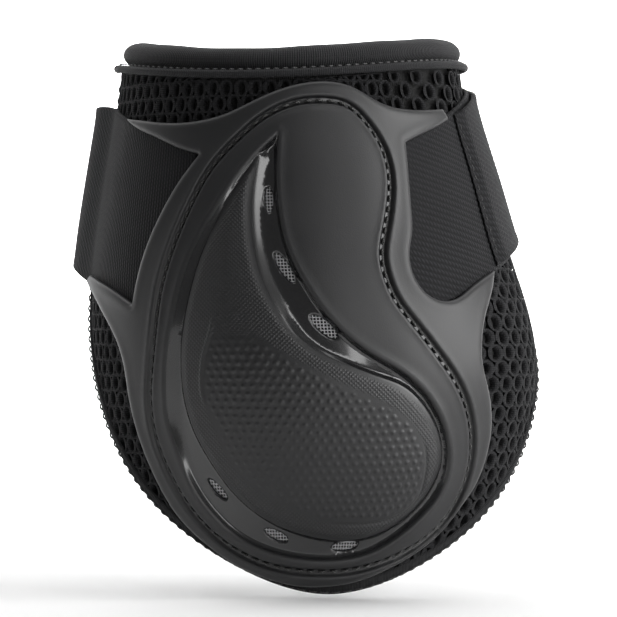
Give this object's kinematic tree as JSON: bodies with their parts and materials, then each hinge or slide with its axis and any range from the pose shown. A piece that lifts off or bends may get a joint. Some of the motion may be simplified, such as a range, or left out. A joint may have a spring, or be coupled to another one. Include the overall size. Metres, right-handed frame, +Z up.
{
  "type": "fetlock boot",
  "caption": "Hind fetlock boot for a horse: moulded guard on a padded mesh liner, with an elastic front strap and hook-and-loop closure.",
  "frame": {"origin": "on the axis of the leg, at mid height of the boot", "axes": "+Z up the leg, -Y from the leg towards the middle of the guard at the rear, +X towards the side with the hook-and-loop end"},
  "size_m": [0.1332, 0.1166, 0.1548],
  "materials": {
    "moulded_guard": "satin black flexible moulding, fine grain",
    "vent_mesh": "fine silver-grey mesh",
    "thread": "black sewing thread",
    "spacer_mesh": "black open hexagonal spacer mesh",
    "foam": "grey closed-cell foam",
    "neoprene": "black neoprene foam",
    "lining": "black brushed lining",
    "binding": "black ribbed binding tape",
    "collar_fabric": "black ribbed knit",
    "elastic": "black woven elastic",
    "loop_face": "black twill elastic with a loop face",
    "hook": "black moulded hook tape"
  },
  "bodies": {
    "root": {"guard_shell": "moulded_guard", "vent_mesh_upper": "vent_mesh", "vent_mesh_lower": "vent_mesh", "spacer_mesh": "spacer_mesh", "impact_foam": "foam", "neoprene_liner": "neoprene", "lining_fabric": "lining", "edge_binding": "binding", "collar_cover": "collar_fabric", "collar_foam": "foam", "top_piping": "collar_fabric", "left_elastic": "elastic", "loop_strap": "loop_face", "shell_stitching": "thread", "binding_stitching": "thread", "collar_stitching": "thread", "loop_strap_stitching": "thread"},
    "front_strap": {"front_elastic": "elastic"},
    "closure": {"closure_tab": "loop_face", "hook_tape": "hook", "closure_stitching": "thread"}
  },
  "joints": [
    {"name": "front_strap_swing", "type": "hinge", "parent": "root", "child": "front_strap", "pos_m": [-0.05406, 0.02774, 0.03981], "axis": [0.117, -0.1059, 0.9875], "range_deg": [0, 110]},
    {"name": "closure_peel", "type": "hinge", "parent": "front_strap", "child": "closure", "pos_m": [0.04914, 0.01746, 0.04482], "axis": [-0.262, -0.0688, 0.9626], "range_deg": [0, 140]}
  ]
}
